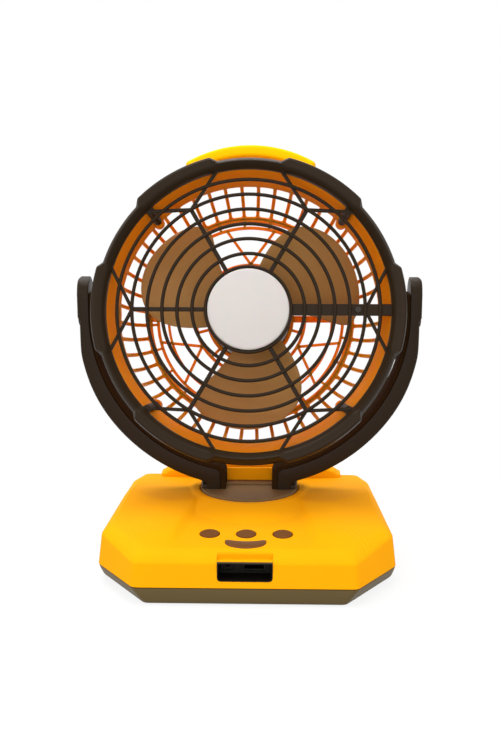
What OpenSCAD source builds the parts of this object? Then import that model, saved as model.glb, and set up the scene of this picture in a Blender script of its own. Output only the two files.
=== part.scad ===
// Portable camping fan with a ring lamp, a swivelling yoke and a battery base.
// Origin on the turntable axis at the underside. +Z up, the front faces -Y.

/* [Base] */
// Width of the base over its sides
base_w = 216; // [200:2:230]
// Turntable axis to the front face
base_front = 119; // [116:1:124]
// Turntable axis to the rear face
base_back = 62; // [61:1:68]
// Height of the seam between the base plate and the shell
seam_h = 13; // [12:0.5:15]
// Height of the crest along the front edge
crest_h = 37.5; // [36.5:0.5:39]
// Height of the ridge beside the turntable
ridge_h = 47.5; // [46.5:0.5:48.5]
// Top of the battery hump behind the turntable
hump_h = 61; // [56:1:62]
// Wall of the base shell
wall = 2.5; // [2:0.1:3]

/* [Turntable] */
// Radius of the turntable disc
table_r = 38; // [37:0.5:40]
// Height of the turntable's top face
table_h = 50; // [49.5:0.5:51]

/* [Yoke] */
// Height of the tilt axis
pivot_h = 185.5; // [185:0.5:190]
// Half width over the yoke's straight arms
yoke_x = 130; // [130:0.5:134]
// Radius of the yoke's outer arc
yoke_r = 133.1; // [133:0.1:136]
// Depth of the yoke, front to back
yoke_d = 24.8; // [22:0.2:26]

/* [Head] */
// Backward tilt of the head at rest, in degrees
tilt = 15; // [10:1:20]
// Radius of the widest guard ring
ring_r = 97; // [96:0.5:98]
// Number of guard rings
ring_n = 6; // [5:1:7]
// Radius of the propeller
blade_r = 88; // [80:0.5:88]
// Number of slots round the rear grille
slot_n = 48; // [36:6:60]
// Height of the handle's top over the head's axis
handle_top = 134; // [132:1:136]

/* [Controls] */
// Radius of a button
button_r = 7; // [6.5:0.1:7.3]
// Spacing of the buttons
button_step = 26; // [25:0.5:28]
// Travel of a button
button_travel = 0.8; // [0.5:0.1:1]

/* [Hidden] */

$fn = 96;
eps = 0.01;
corner = 0.5;
charcoal = "#2e2920";
yellow = "#ffb60a";
orange = "#f57a10";
brown = "#8b5a35";
olive = "#5c4a30";
steel = "#b9bcc0";
copper = "#b8733a";
board_green = "#1d5b3a";

// ---- Base outline: an octagon with deep front chamfers ----
front_cut = [30.5, 44];
back_cut = [22, 28];
front_turn = tan(atan2(front_cut[1], front_cut[0]) / 2);
front_side_turn = tan((90 - atan2(front_cut[1], front_cut[0])) / 2);
back_turn = tan(atan2(back_cut[1], back_cut[0]) / 2);
back_side_turn = tan((90 - atan2(back_cut[1], back_cut[0])) / 2);

// Right half of the outline, front to back, moved in by i
function half_outline(i) = [
  [base_w / 2 - front_cut[0] - i * front_turn, -base_front + i],
  [base_w / 2 - i, -base_front + front_cut[1] + i * front_side_turn],
  [base_w / 2 - i, base_back - back_cut[1] - i * back_side_turn],
  [base_w / 2 - back_cut[0] - i * back_turn, base_back - i]];
function outline(i) = concat(half_outline(i),
  [for (k = [3:-1:0]) [-half_outline(i)[k][0], half_outline(i)[k][1]]]);

// Heights of the shell's shoulder and top at the four corners of a half outline
shoulder_in = 3;
shoulder_z = [32.5, 34.5, 38, 36];
top_in = 12;
top_z = [crest_h, 41, 45, 43];
ridge_y = -3;

// ---- Control panel ----
// The panel rises from the crest towards the back at this angle
panel_angle = 5;
panel_y = -base_front + top_in;
button_y = -84;
lens_y = -100;
smile_r = 14;
smile_top = 57.6;
fit_gap = 0.2;
board_gap = 6.5;
flange_t = 1;
stem_h = 2.1;
plunger_h = board_gap - stem_h - button_travel - 0.2;

// ---- Base fittings ----
boss_at = [[84, -72], [88, 24]];
boss_top = [39.5, 44];
foot_at = [[70, -101], [78, 47]];
bay_w = 36.8;
bay_z = [17.6, 31];
bay_wall = 1.2;
bay_d = 16;
bay_in = 2;
board_z = 18.4;
board_t = 1.6;
cell_r = 9.2;
cell_l = 65;
cell_y = [-48, -28.4];
cell_z = 13.4;
floor_t = 3;

// ---- Swivel drive ----
gear_module = 1;
gear_n = 48;
pinion_n = 12;
gear_gap = gear_module * (gear_n + pinion_n) / 2;
well_r = table_r + 0.6;
skirt_r = [62, 43.5];
skirt_z = [41, 48.8];
well_floor = [41.5, 44];
neck_r = 22;
neck_step_r = 18;
running = 0.07;
gear_t = 5;
gear_top = well_floor[0] - 0.3;
gear_screw_at = 20.4;
motor_top = 27;
motor_lug_x = [-17.5, 17.5];

// ---- Yoke ----
yoke_z = pivot_h - 1;
yoke_screw_x = [-25.5, 25.5];
yoke_screw_y = [-7, 7];
yoke_in = 121;
cover_in = 118.6;
cover_d = 19;
arm_top = pivot_h + 29;
foot_x = [17.9, 33];
foot_turn = 7;
pin_r = 4;
bolt_head = [8, 2.6];
cap_seat = 5;

// ---- Head, in its own frame: X right, Y up, Z out of the front ----
guard_z = 30;
wire_r = 1.5;
ring_pitch = 11.1;
lamp_r = 30.2;
hub_rim = [30.6, 32.8];
spoke_w = 3.4;
fork_w = 3.2;
spoke_z = [27, 30.2];
fork_at = ring_r - ring_pitch;
bezel_at = 106.4;
arm_w = 8.6;
arm_z = 23;
arm_screw_x = 80.6;
bezel = [[105.2, 27], [105.2, 30], [109.2, 36], [113, 31], [115, 8], [112.6, 8], [110.8, 28.5],
  [109.2, 32], [107.6, 29.4], [107.6, 27]];
lobe = [[106.4, 32], [112.4, 37], [116.1, 31], [117.2, 10.5], [114.5, 10.5], [112.4, 30]];
lobe_half = 17.2;
band_z = [5, 8];
duct = [[105.6, 27], [98.2, band_z[0]], [114.6, band_z[0]], [114.6, band_z[1]], [101.8, band_z[1]], [108, 27]];
post_at = 100;
post_r = 4;
post_seat = band_z[1] - 0.4;
post_top = 29.4;
pad_r = 4.6;
pad_z = [band_z[0] - 0.8, post_seat + 0.3];
grille_z = -30;
grille_t = 3;
grille_rings = [[77.6, 80.6], [71.8, 74.2], [63.6, 65.6], [41.8, 44.4], [31.5, 34.5]];
bar_w = 2.6;
boss_r = 7.4;
boss_start = 98.5;
boss_end = 117;
handle_ends = 25;
handle_r = 100;
handle_t = 9.5;
handle_half = 33;
handle_z = [-22, -4];
motor_r = 31.2;
motor_z = [-34, -12];
plate_z = -37;
shaft_r = 2.5;
hub_r = 24;
blade_pitch = 20;
lug_at = 37;
lug_r = 3.4;

module on_head() {
  translate([0, 0, pivot_h]) rotate([90 - tilt, 0, 0]) children();
}

module both_sides() {
  children();
  mirror([1, 0, 0]) children();
}

module ring(r_in, r_out, z0, z1) {
  translate([0, 0, z0]) difference() {
    cylinder(r = r_out, h = z1 - z0);
    translate([0, 0, -1]) cylinder(r = r_in, h = z1 - z0 + 2);
  }
}

module disc(r, z0, z1) {
  translate([0, 0, z0]) cylinder(r = r, h = z1 - z0);
}

// A screw along +Z: head of radius hr and height hh from the origin, then the shank
module screw(r, l, hr, hh) {
  cylinder(r = hr, h = hh);
  cylinder(r = r, h = l);
}

// A flat ring sector between two radii and two angles, counted from +X
module sector(r_in, r_out, a0, a1, steps = 24) {
  polygon(concat(
    [for (k = [0:steps]) r_out * [cos(a0 + (a1 - a0) * k / steps), sin(a0 + (a1 - a0) * k / steps)]],
    [for (k = [steps:-1:0]) r_in * [cos(a0 + (a1 - a0) * k / steps), sin(a0 + (a1 - a0) * k / steps)]]));
}

// ---- Base ----

module corner_points(i, z) {
  for (p = [for (k = [0:3]) [half_outline(i)[k][0], half_outline(i)[k][1], z[k]]])
    for (side = [-1, 1])
      translate([side * p[0], p[1], p[2]]) cube(corner, center = true);
}

// The shell's form, moved in by i on every side
module shell_form(i) {
  hull() {
    translate([0, 0, seam_h - i]) linear_extrude(eps) polygon(outline(i));
    corner_points(shoulder_in + i, shoulder_z - i * [1, 1, 1, 1]);
    corner_points(top_in + i, top_z - i * [1, 1, 1, 1]);
    for (side = [-1, 1])
      translate([side * (base_w / 2 - top_in - i), ridge_y, ridge_h - i]) cube(corner, center = true);
  }
}

// A thin slab of the hump: width w, front edge at y0 and height z, moved in by i
module hump_slab(w, y0, z, i) {
  back = base_back - 1 - (z - 36) / 8;
  translate([-w / 2 + i, y0 + i, z - corner]) cube([w - 2 * i, back - y0 - 2 * i, corner]);
}

module hump_form(i) {
  hull() {
    hump_slab(152, 40, 36, i);
    hump_slab(150, 40.8, 46.5, i);
    hump_slab(94, 45, hump_h - i, i);
  }
}

// Places children on the control panel: X along it, Z out of it
module on_panel(y) {
  translate([0, panel_y, crest_h]) rotate([panel_angle, 0, 0]) translate([0, y - panel_y, 0]) children();
}

// The status lens's outline, grown by g: a half disc with a slightly hollow top edge
module smile(g, depth) {
  linear_extrude(depth) difference() {
    translate([0, 6]) circle(r = smile_r + g);
    translate([0, 60]) circle(r = smile_top - g);
  }
}

// A cone between two heights, with its radius at each
module cone(r, z) {
  translate([0, 0, z[0]]) cylinder(r1 = r[0], r2 = r[1], h = z[1] - z[0]);
}

module base_shell() {
  color(yellow) difference() {
    union() {
      difference() {
        union() {
          shell_form(0);
          hump_form(0);
          cone(skirt_r, skirt_z);
        }
        shell_form(wall);
        hump_form(wall);
        cone(skirt_r - [2, wall], skirt_z - wall * [1, 1]);
      }
      disc(well_r + wall, well_floor[0], skirt_z[1]);
      for (k = [0, 1]) both_sides() translate([boss_at[k][0], boss_at[k][1], seam_h]) cylinder(r = 4.2, h = boss_top[k] - seam_h);
    }
    disc(well_r, well_floor[1], hump_h + 10);
    disc(neck_r + running, well_floor[0] - 1, well_floor[1] + 1);
    for (b = boss_at) both_sides() translate([b[0], b[1], seam_h - 1]) cylinder(r = 1.55, h = 14);
    for (k = [-1:1]) on_panel(button_y) translate([k * button_step, 0, -8]) cylinder(r = button_r + 0.3, h = 12);
    on_panel(lens_y) translate([0, 0, -6]) smile(fit_gap, 12);
    bay_box(fit_gap, -base_front - 1, 13);
  }
}

module base_plate() {
  color(olive) difference() {
    union() {
      difference() {
        hull() {
          linear_extrude(eps) polygon(outline(5));
          translate([0, 0, 5]) linear_extrude(eps) polygon(outline(0.6));
          translate([0, 0, seam_h - eps]) linear_extrude(eps) polygon(outline(0));
        }
        hull() {
          translate([0, 0, floor_t]) linear_extrude(eps) polygon(outline(7));
          translate([0, 0, seam_h]) linear_extrude(1) polygon(outline(wall));
        }
      }
      for (b = boss_at) both_sides() translate([b[0], b[1], 0]) cylinder(r = 5, h = seam_h);
      for (x = [-28, 28], y = [-94, -70]) translate([x, y, 1]) cylinder(r = 3, h = board_z - 1);
      for (x = [-38, 38], y = [-87, -74]) translate([x, y, 1]) cylinder(r = 3, h = panel_post_h(y) - 1);
      for (x = motor_lug_x) translate([x, gear_gap + 8, 1]) cylinder(r = 3.5, h = motor_top - 1);
    }
    for (b = boss_at) both_sides() translate([b[0], b[1], -1]) {
      cylinder(r = 1.8, h = seam_h + 2);
      cylinder(r = 3.6, h = 5);
    }
    for (f = foot_at) both_sides() translate([f[0], f[1], -1]) cylinder(r = 8.1, h = 2.6);
  }
}

// Underside of the control board above the floor, at depth y
function panel_post_h(y) = crest_h + tan(panel_angle) * (y - panel_y) - wall - board_gap - board_t - 1.2;

module base_screws() {
  color(steel) for (b = boss_at) both_sides() translate([b[0], b[1], 1]) screw(1.5, 24, 3.3, 2.2);
}

module rubber_feet() {
  color("#222222") for (f = foot_at) both_sides() translate([f[0], f[1], 0]) cylinder(r = 8, h = 1.5);
}

// The port bay's outside, grown by g, from y over a depth
module bay_box(g, y, depth) {
  translate([-bay_w / 2 - bay_wall - g, y, bay_z[0] - bay_wall - g])
    cube([bay_w + 2 * (bay_wall + g), depth, bay_z[1] - bay_z[0] + 2 * (bay_wall + g)]);
}

module port_bay() {
  front = -base_front + bay_in;
  color(charcoal) difference() {
    bay_box(0, front, bay_d);
    translate([-bay_w / 2, front - 1, bay_z[0]]) cube([bay_w, bay_d - 0.4, bay_z[1] - bay_z[0]]);
    translate([-1.7, front, board_z + board_t - 0.2]) cube([15.4, bay_d + 1, 8.2]);
    translate([-17.3, front, board_z + board_t - 0.2]) cube([9.6, bay_d + 1, 11]);
  }
}

socket_back = -base_front + bay_in + bay_d;

module usb_socket() {
  color(steel) translate([-1.5, socket_back - 1.5, board_z + board_t]) difference() {
    cube([15, 15, 7.6]);
    translate([0.6, -1, 0.6]) cube([13.8, 12, 6.4]);
  }
  color("#15171a") translate([-0.4, socket_back + 1, board_z + board_t + 2.6]) cube([12.8, 8.4, 2]);
}

module dc_jack() {
  color("#15171a") translate([-17, socket_back - 1.5, board_z + board_t]) difference() {
    cube([9, 11, 10.6]);
    translate([4.5, -1, 5.4]) rotate([-90, 0, 0]) cylinder(r = 3, h = 10);
  }
  color(steel) translate([-12.5, socket_back - 0.5, board_z + board_t + 5.4]) rotate([-90, 0, 0]) cylinder(r = 0.9, h = 8.5);
}

module main_board() {
  color(board_green) translate([-33, -100.8, board_z]) cube([66, 37.3, board_t]);
  color("#15171a") translate([-8, -84, board_z + board_t]) cube([10, 10, 2]);
  color("#6a6f75") translate([12, -82, board_z + board_t]) cube([9, 9, 4.5]);
}

module control_board() {
  color(board_green) on_panel(button_y) translate([-42, -7, -wall - board_gap - board_t]) cube([84, 21, board_t]);
}

module touch_switches() {
  for (k = [-1:1]) on_panel(button_y) translate([k * button_step, 0, -wall - board_gap]) {
    color("#15171a") translate([-3, -3, 0]) cube([6, 6, plunger_h - 1]);
    color(steel) cylinder(r = 1.7, h = plunger_h);
  }
}

module status_lens() {
  color(brown) on_panel(lens_y) translate([0, 0, -wall]) smile(0, wall + 0.4);
}

module button(k) {
  color(brown) on_panel(button_y) translate([k * button_step, 0, 0]) {
    translate([0, 0, -wall - 0.5]) cylinder(r = button_r, h = wall + 1.7);
    translate([0, 0, -wall - 0.5 - flange_t]) cylinder(r = button_r + 1, h = flange_t);
    translate([0, 0, -wall - stem_h]) cylinder(r = 2.2, h = stem_h);
  }
}

module battery_cells() {
  color("#2f6f9f") for (x = [-1, 1], y = cell_y)
    translate([x * (cell_l / 2 + 0.7) - cell_l / 2, y, cell_z]) rotate([0, 90, 0]) cylinder(r = cell_r, h = cell_l);
}

module battery_holder() {
  color("#3a3d40") difference() {
    translate([-69, -60, floor_t]) cube([138, 43.5, 9]);
    for (y = cell_y) translate([-67, y, cell_z]) rotate([0, 90, 0]) cylinder(r = cell_r + 0.1, h = 134);
  }
}

module slip_ring() {
  color("#e8e4d8") ring(24, 36, well_floor[1], well_floor[1] + 0.5);
}

module swing_motor() {
  color(steel) translate([0, gear_gap, 0]) difference() {
    union() {
      disc(14, 8, motor_top);
      for (x = motor_lug_x) translate([x, 8, motor_top]) cylinder(r = 3.5, h = 1);
      translate([motor_lug_x[0], 4.5, motor_top]) cube([35, 7, 1]);
    }
    translate([0, 0, 12]) cylinder(r = 2.5 + running, h = 20);
  }
}

// ---- Gears: involute teeth, module gear_module, with a little backlash ----
function invol(a) = tan(a) * 180 / PI - a;
pressure = 20;
backlash = 0.1;
function tooth_half(n, r) = let(base_radius = gear_module * n / 2 * cos(pressure))
  90 / n - backlash / (gear_module * n) * 180 / PI + invol(pressure)
  - (r > base_radius ? invol(acos(base_radius / r)) : 0);
function tooth_radii(n) = [for (f = [0, 0.3, 0.55, 0.8, 1])
  gear_module * (n / 2 - 1.2) + f * 2.1 * gear_module];

module gear_flat(n, turn = 0) {
  radii = tooth_radii(n);
  polygon([for (k = [0:n - 1]) let(a = turn + k * 360 / n) each concat(
    [for (r = radii) r * [cos(a - tooth_half(n, r)), sin(a - tooth_half(n, r))]],
    [for (j = [4:-1:0]) let(r = radii[j]) r * [cos(a + tooth_half(n, r)), sin(a + tooth_half(n, r))]])]);
}

module swing_gear() {
  color("#e8e4d8") translate([0, 0, gear_top - gear_t]) difference() {
    linear_extrude(gear_t) gear_flat(gear_n, 90);
    translate([0, 0, -1]) cylinder(r = neck_step_r + 0.02, h = gear_t + 2);
    for (k = [0:2]) rotate(k * 120) translate([gear_screw_at, 0, -1]) cylinder(r = 1.1, h = gear_t + 2);
  }
}

module gear_screws() {
  color(steel) for (k = [0:2]) rotate(k * 120) translate([gear_screw_at, 0, gear_top - gear_t - 1.4]) screw(1, gear_t + 4.4, 1.9, 1.4);
}

module swing_pinion() {
  color("#e8e4d8") translate([0, gear_gap, 0]) {
    translate([0, 0, gear_top - gear_t]) linear_extrude(gear_t) gear_flat(pinion_n, 90 + 180 / pinion_n);
    translate([0, 0, 13]) cylinder(r = 2.5, h = gear_top - gear_t - 12);
  }
}

// ---- Swivelling parts ----
module turntable() {
  color("#4b3f30") difference() {
    union() {
      disc(table_r, 44.6, table_h);
      disc(neck_r, gear_top, 45);
      disc(neck_step_r, gear_top - gear_t, gear_top + 1);
    }
    disc(13, gear_top - gear_t - 1, 46.5);
    for (x = yoke_screw_x, y = yoke_screw_y) translate([x, y, 40]) {
      cylinder(r = 1.7, h = 20);
      cylinder(r = 3.2, h = 7);
    }
    for (k = [0:2]) rotate(k * 120) translate([gear_screw_at, 0, gear_top - 1]) cylinder(r = 1.05, h = 4.4);
  }
}

// The yoke's outline in the XZ plane between two radii, with straight arms
module yoke_band(r_out, r_in, x_out, top) {
  difference() {
    union() {
      intersection() {
        circle(r = r_out);
        translate([-x_out, -r_out - 1]) square([2 * x_out, r_out + 1]);
      }
      translate([-x_out, 0]) square([2 * x_out, top]);
    }
    circle(r = r_in);
    translate([-r_in, 0]) square([2 * r_in, top + 1]);
  }
}

module yoke_slab(depth) {
  translate([0, 0, yoke_z]) rotate([90, 0, 0]) translate([0, 0, -depth / 2]) linear_extrude(depth) children();
}

module yoke() {
  foot_w = foot_x[1] - foot_x[0];
  turn_x = foot_x[0] + foot_turn;
  turn_z = yoke_z - sqrt(pow(yoke_in, 2) - pow(turn_x, 2)) - foot_turn;
  color(charcoal) difference() {
    union() {
      difference() {
        yoke_slab(yoke_d) yoke_band(yoke_r, yoke_in, yoke_x, arm_top - yoke_d / 2 - yoke_z);
        translate([-turn_x, -yoke_d, table_h]) cube([2 * turn_x, 2 * yoke_d, 40]);
      }
      both_sides() {
        translate([yoke_in, 0, arm_top - yoke_d / 2]) rotate([0, 90, 0]) cylinder(r = yoke_d / 2, h = yoke_x - yoke_in);
        translate([foot_x[0], -yoke_d / 2, table_h]) cube([foot_w, yoke_d, turn_z - table_h]);
        translate([turn_x - 0.5, -yoke_d / 2, table_h]) cube([foot_x[1] - turn_x + 0.5, yoke_d, turn_z + foot_turn - table_h]);
        translate([turn_x, 0, turn_z]) rotate([90, 0, 0]) translate([0, 0, -yoke_d / 2]) cylinder(r = foot_turn, h = yoke_d);
      }
      translate([-foot_x[0] - 1, 0, table_h]) cube([2 * foot_x[0] + 2, yoke_d / 2, 5.6]);
      both_sides() translate([cover_in, 0, pivot_h]) rotate([0, 90, 0]) cylinder(r = 11, h = 4);
    }
    both_sides() translate([0, 0, pivot_h]) rotate([0, 90, 0]) {
      translate([0, 0, cover_in - 2]) cylinder(r = pin_r + running, h = 20);
      translate([0, 0, yoke_x - cap_seat]) cylinder(r = 9, h = 10);
    }
    for (x = yoke_screw_x, y = yoke_screw_y) translate([x, y, table_h - 1]) cylinder(r = 1.35, h = 13);
  }
}

// The strip that lines the inside of the yoke and hides the cable
module yoke_cover() {
  gap = 12;
  color("#26221b") difference() {
    yoke_slab(cover_d) difference() {
      yoke_band(yoke_in - 0.1, cover_in, yoke_in - 0.1, arm_top - yoke_d / 2 - yoke_z);
      translate([-foot_x[1], -yoke_in - 10]) square([2 * foot_x[1], 60]);
    }
    both_sides() translate([cover_in - 2, 0, pivot_h]) rotate([0, 90, 0]) cylinder(r = gap, h = 10);
  }
}

module yoke_screws() {
  color(steel) for (x = yoke_screw_x, y = yoke_screw_y) translate([x, y, 44.8]) screw(1.3, 15, 2.9, 2);
}

module pivot_caps() {
  color(charcoal) both_sides() translate([yoke_x - 1.8, 0, pivot_h]) rotate([0, 90, 0]) cylinder(r = 8.95, h = 1.6);
}

// ---- Head ----
module front_guard() {
  color(charcoal) on_head() difference() {
    union() {
      rotate_extrude() polygon(bezel);
      for (k = [0:5]) rotate(k * 60 - lobe_half) rotate_extrude(angle = 2 * lobe_half) polygon(lobe);
      for (k = [1:ring_n]) let(r = ring_r - (ring_n - k) * ring_pitch)
        translate([0, 0, guard_z]) rotate_extrude() translate([r, 0]) circle(r = wire_r, $fn = 24);
      ring(hub_rim[0], hub_rim[1], spoke_z[0], 32);
      for (k = [0:5]) rotate(k * 60) {
        spoke(k == 0 ? arm_w : spoke_w, k == 0 ? bezel_at : fork_at + 1);
        for (side = [-1, 1]) spoke_arm(fork_at, side * lobe_half);
      }
      for (k = [0:3]) rotate(45 + 90 * k) translate([post_at, 0, 0]) {
        disc(post_r, post_seat, post_top);
        translate([0, -2, spoke_z[0] + 0.6]) cube([6.4, 4, post_top - spoke_z[0] - 1]);
      }
    }
    for (k = [0:3]) rotate(45 + 90 * k) translate([post_at, 0, post_seat - 1]) cylinder(r = 1.35, h = 16);
    translate([arm_screw_x, 0, 20]) cylinder(r = 1.1, h = 20);
  }
}

// A straight spoke along +X from the hub's rim to radius end
module spoke(w, end) {
  translate([hub_rim[1] - 1, -w / 2, spoke_z[0]]) cube([end - hub_rim[1] + 1, w, spoke_z[1] - spoke_z[0]]);
}

// One arm of a spoke's fork, from radius fork on the spoke to the bezel at angle a
module spoke_arm(fork, a) {
  target = bezel_at * [cos(a), sin(a)];
  reach = target - [fork, 0];
  translate([fork, 0, spoke_z[0]]) rotate(atan2(reach[1], reach[0]))
    translate([0, -fork_w / 2, 0]) cube([norm(reach), fork_w, 3]);
}

// A grille bar in the plane of a radius: it leaves the band and curves to the flat rear
bar_curve = [[101.6, 7], [99.6, 7], [98.8, 4], [95.6, -8], [91.2, -19], [85.5, -26.4], [79.2, -28.6],
  [79.2, -31.3], [87.2, -29.4], [93.8, -21], [98.4, -9], [101.2, 4]];

module rear_shell() {
  color(orange) on_head() difference() {
    union() {
      rotate_extrude() polygon(duct);
      for (k = [0:slot_n - 1]) rotate((k + 0.5) * 360 / slot_n)
        translate([0, bar_w / 2, 0]) rotate([90, 0, 0]) linear_extrude(bar_w) polygon(bar_curve);
      translate([0, 0, grille_z - grille_t / 2]) linear_extrude(grille_t) grille_flat();
      ring(grille_rings[4][0], grille_rings[4][1], motor_z[0], grille_z);
      for (k = [0:2]) rotate(30 + k * 120) translate([lug_at, 0, motor_z[0]]) cylinder(r = lug_r, h = 5);
      for (k = [0:3]) rotate(45 + 90 * k) translate([post_at, 0, 0]) disc(pad_r, pad_z[0], pad_z[1]);
      both_sides() translate([boss_start, 0, 0]) rotate([0, 90, 0]) cylinder(r = boss_r, h = boss_end - boss_start);
    }
    for (k = [0:3]) rotate(45 + 90 * k) translate([post_at, 0, 0]) {
      cylinder(r = 1.7, h = 20);
      translate([0, 0, post_seat]) cylinder(r = post_r + 0.2, h = 30);
    }
    both_sides() translate([101, 0, 0]) rotate([0, 90, 0]) cylinder(r = pin_r, h = 20);
    for (k = [0:2]) rotate(30 + k * 120) translate([lug_at, 0, motor_z[0] - 1]) cylinder(r = 1.05, h = 5);
    for (a = [90 - handle_ends, 90 + handle_ends]) rotate(a) translate([109, 0, 0]) cylinder(r = 1.7, h = 20);
  }
}

// The flat rear of the grille: rings, short bars, the trusses and the motor's struts
module grille_flat() {
  ring_b = grille_rings[1];
  ring_c = grille_rings[2];
  hub_ring = grille_rings[3];
  motor_ring = grille_rings[4];
  for (g = grille_rings) difference() {
    circle(r = g[1]);
    circle(r = g[0]);
  }
  for (k = [0:slot_n / 2 - 1]) rotate((k + 0.25) * 720 / slot_n)
    translate([ring_b[1] - 0.5, -1]) square([grille_rings[0][0] - ring_b[1] + 1, 2]);
  for (k = [0:5]) rotate(90 + k * 60) {
    for (side = [-1, 1]) truss_leg(hub_ring[1] - 1, ring_b[1] - 1, side * 15);
  }
  for (k = [0:11]) rotate(k * 30 + 15)
    translate([motor_ring[1] - 0.5, -1.1]) square([hub_ring[0] - motor_ring[1] + 1, 2.2]);
  for (k = [0, 1]) rotate(180 * k) translate([motor_ring[1] - 0.5, -2.6]) square([80 - motor_ring[1], 5.2]);
}

module truss_leg(r0, r1, a) {
  reach = r1 * [cos(a), sin(a)] - [r0, 0];
  translate([r0, 0]) rotate(atan2(reach[1], reach[0])) translate([0, -1.2]) square([norm(reach), 2.4]);
}

module guard_screws() {
  color(steel) on_head() for (k = [0:3]) rotate(45 + 90 * k) translate([post_at, 0, pad_z[0] - 2]) screw(1.3, 16, 3, 2);
}

module handle() {
  color(yellow) on_head() difference() {
    union() {
      translate([0, 0, handle_z[0]]) linear_extrude(handle_z[1] - handle_z[0])
        translate([0, handle_top - handle_r]) sector(handle_r - handle_t, handle_r, 90 - handle_half, 90 + handle_half, 32);
      both_sides() translate([0, 0, handle_z[0]]) linear_extrude(band_z[0] - handle_z[0])
        polygon([[42.5, 98], [50, 94.5], [56, 116], [50, 114]]);
    }
    both_sides() rotate(90 - handle_ends) translate([109, 0, band_z[0] - 14]) cylinder(r = 1.35, h = 20);
    both_sides() translate([40, 90, handle_z[0] - 1]) cube([20, 18, 15]);
  }
}

module handle_screws() {
  color(steel) on_head() for (a = [90 - handle_ends, 90 + handle_ends]) rotate(a)
    translate([109, 0, band_z[1] + 2]) mirror([0, 0, 1]) screw(1.3, 14, 3, 2);
}

module pivot_bolts() {
  color(steel) both_sides() on_head() rotate([0, 90, 0]) {
    translate([0, 0, 102]) cylinder(r = pin_r - 0.01, h = yoke_x - cap_seat - 102 + 0.2);
    translate([0, 0, yoke_x - cap_seat + 0.1]) cylinder(r = bolt_head[0], h = bolt_head[1]);
  }
}

module tilt_washers() {
  color("#e8e4d8") both_sides() on_head() rotate([0, 90, 0]) ring(pin_r + 0.2, boss_r - 0.2, boss_end, cover_in - 0.1);
}

module lamp_lens() {
  color("#e2dedc") on_head() intersection() {
    disc(lamp_r, 30.6, 35);
    translate([0, 0, 34.4 - 260]) sphere(r = 260, $fn = 200);
  }
}

module lamp_housing() {
  color(charcoal) on_head() difference() {
    disc(30.4, 17.5, 30.6);
    disc(28.6, 19.5, 32);
    disc(4, 16, 21);
  }
}

module lamp_board() {
  color("#f4f2ee") on_head() {
    ring(4, 28.5, 19.5, 21.1);
    for (k = [0:11]) rotate(k * 30) translate([20, 0, 21.1]) translate([-1.5, -1.5, 0]) cube([3, 3, 0.8]);
  }
}

module lamp_arm() {
  color(charcoal) on_head() difference() {
    translate([30.42, -arm_w / 2, arm_z]) cube([73, arm_w, spoke_z[0] - arm_z]);
    translate([arm_screw_x, 0, 20]) cylinder(r = 1.1, h = 10);
  }
}

module arm_screw() {
  color(steel) on_head() translate([arm_screw_x, 0, spoke_z[1] + 1.2]) mirror([0, 0, 1]) screw(1, 9, 2.2, 1.2);
}

module motor_can() {
  color("#8f9398") on_head() difference() {
    disc(motor_r, motor_z[0], motor_z[1]);
    disc(motor_r - 1.6, motor_z[0] - 1, motor_z[1] - 6);
    disc(6.5, motor_z[1] - 5, motor_z[1] + 1);
    disc(4.5, motor_z[0], motor_z[1] + 1);
  }
}

module motor_end_plate() {
  color(charcoal) on_head() difference() {
    union() {
      disc(34.4, plate_z, motor_z[0]);
      for (k = [0:2]) rotate(30 + k * 120) translate([lug_at, 0, plate_z]) cylinder(r = lug_r, h = motor_z[0] - plate_z);
      disc(9, motor_z[0] - 1, motor_z[0] + 6);
    }
    disc(6.5, motor_z[0] + 1, motor_z[0] + 7);
    for (k = [0:2]) rotate(30 + k * 120) translate([lug_at, 0, plate_z - 1]) cylinder(r = 1.1, h = 6);
  }
}

module motor_screws() {
  color(steel) on_head() for (k = [0:2]) rotate(30 + k * 120) translate([lug_at, 0, plate_z - 1.4]) screw(1, 8, 2, 1.4);
}

module motor_stator() {
  color(copper) on_head() ring(15, motor_r - 1.7, -27.5, -19);
}

module motor_bearings() {
  color(steel) on_head() {
    ring(shaft_r + 0.05, 6.5, motor_z[1] - 5, motor_z[1] - 0.6);
    ring(shaft_r + 0.05, 6.5, motor_z[0] + 1, motor_z[0] + 5.4);
  }
}

// ---- Propeller and what turns with it ----

// Paddle blade: narrow at the hub, broad and round towards the tip
function blade_edge(side) = [for (k = [0:12]) let(t = k / 12, r = 20 + t * (blade_r - 20))
  [r * cos(side * blade_spread(t)), r * sin(side * blade_spread(t))]];
function blade_spread(t) = 37 * sqrt(1 - pow(t, 6));

module propeller() {
  color(brown) on_head() difference() {
    union() {
      disc(hub_r, -10, 8);
      for (k = [0:2]) rotate(150 + 120 * k) rotate([blade_pitch, 0, 0])
        translate([0, 0, -1.2]) linear_extrude(2.4) polygon(concat(blade_edge(-1), [for (j = [12:-1:0]) blade_edge(1)[j]]));
    }
    disc(shaft_r + 0.02, -12, 10);
    disc(hub_r - 2, -14, -4);
  }
}

module propeller_nut() {
  color(steel) on_head() difference() {
    translate([0, 0, 8]) cylinder(r = 4.6, h = 4, $fn = 6);
    disc(shaft_r + 0.02, 7, 13);
  }
}

module motor_shaft() {
  color(steel) on_head() disc(shaft_r, motor_z[0] + 1.5, 12.5);
}

module rotor_magnet() {
  color("#55585c") on_head() ring(shaft_r + 0.02, 14, -27, -19.5);
}

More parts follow.
